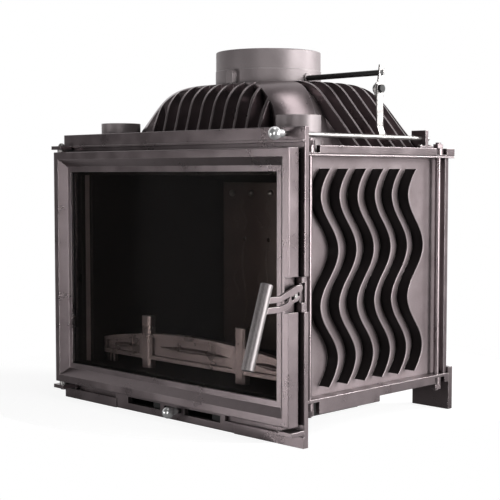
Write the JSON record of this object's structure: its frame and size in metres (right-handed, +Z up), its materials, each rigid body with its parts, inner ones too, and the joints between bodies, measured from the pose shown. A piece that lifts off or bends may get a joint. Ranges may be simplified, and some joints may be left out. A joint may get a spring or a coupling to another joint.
{
  "type": "fireplace insert",
  "caption": "Cast-iron fireplace insert with a glazed swing door, lift latch, ribbed flue hood, push-rod flue damper and sliding air control.",
  "frame": {"origin": "Middle of the footprint on the ground, halfway between the grip's foremost point and the rear edge.", "axes": "X to the right seen from the door, Y from the door to the back, Z up."},
  "size_m": [0.64, 0.5706, 0.6725],
  "materials": {
    "graphite_cast_iron": "graphite heat-resistant paint, slightly grainy",
    "bare_cast_iron": "dark, rough as cast",
    "zinc_steel": "satin plated steel",
    "satin_grip": "satin steel tube",
    "chrome_knob": "polished",
    "ceramic_glass": "clear",
    "rope_seal": "dark braided glass fibre",
    "black_sheet": "matt black",
    "black_bolt": "black oxide"
  },
  "bodies": {
    "firebox": {"front_plate": "graphite_cast_iron", "plate_bolts": "zinc_steel", "base_plate": "graphite_cast_iron", "top_plate": "graphite_cast_iron", "side_panel_left": "graphite_cast_iron", "side_panel_right": "graphite_cast_iron", "back_panel": "graphite_cast_iron", "rear_leg_left": "graphite_cast_iron", "rear_leg_right": "graphite_cast_iron", "leg_bolts": "zinc_steel", "tie_rods": "zinc_steel", "tie_rod_nuts": "zinc_steel", "flue_hood": "graphite_cast_iron", "flue_collar": "graphite_cast_iron", "collar_dowels": "zinc_steel", "rod_guide": "graphite_cast_iron", "rod_guide_screws": "zinc_steel", "air_spigot_left": "graphite_cast_iron", "air_spigot_right": "graphite_cast_iron", "air_wash_duct": "black_sheet", "side_lining_left": "bare_cast_iron", "side_lining_right": "bare_cast_iron", "back_lining": "bare_cast_iron", "lining_bolts": "zinc_steel", "lining_spacers": "zinc_steel", "lining_nuts": "zinc_steel", "baffle_plate": "bare_cast_iron", "hearth_plate": "bare_cast_iron", "grate": "bare_cast_iron", "log_guard": "bare_cast_iron", "air_box": "black_sheet", "slider_rails": "black_sheet", "hinge_pins": "zinc_steel", "hinge_bushes": "zinc_steel", "latch_keeper": "zinc_steel", "keeper_screws": "zinc_steel"},
    "door": {"door_frame": "graphite_cast_iron", "door_glass": "ceramic_glass", "glass_gasket": "rope_seal", "glass_clips": "black_sheet", "clip_screws": "zinc_steel", "door_rope": "rope_seal", "lever_pin": "zinc_steel"},
    "handle": {"latch_lever": "zinc_steel", "handle_grip": "satin_grip"},
    "damper": {"damper_disc": "bare_cast_iron", "damper_shaft": "zinc_steel", "damper_crank": "zinc_steel"},
    "damper_slide": {"damper_rod": "zinc_steel", "damper_knob": "chrome_knob", "rod_upright": "zinc_steel", "link_bolt": "black_bolt", "link_collar": "zinc_steel"},
    "air_control": {"air_slider": "black_sheet", "slider_stem": "zinc_steel", "air_knob": "chrome_knob"}
  },
  "joints": [
    {"name": "door_swing", "type": "hinge", "parent": "firebox", "child": "door", "pos_m": [-0.3026, -0.17552, 0.26], "axis": [0, 0, -1], "range_deg": [0, 110]},
    {"name": "handle_lift", "type": "hinge", "parent": "door", "child": "handle", "pos_m": [0.313, -0.17552, 0.248], "axis": [-1, 0, 0], "range_deg": [0, 38]},
    {"name": "damper_push", "type": "slide", "parent": "firebox", "child": "damper_slide", "axis": [0, 1, 0], "range_m": [-0.018, 0.01]},
    {"name": "damper_turn", "type": "hinge", "parent": "firebox", "child": "damper", "pos_m": [0, 0.09058, 0.6195], "axis": [1, 0, 0], "range_deg": [-34.25, 19.05]},
    {"name": "air_slide", "type": "slide", "parent": "firebox", "child": "air_control", "axis": [1, 0, 0], "range_m": [-0.036, 0.004]}
  ],
  "couplings": [
    {"joint": "damper_turn", "follows": "damper_push", "rad_per_m": 33.161}
  ]
}
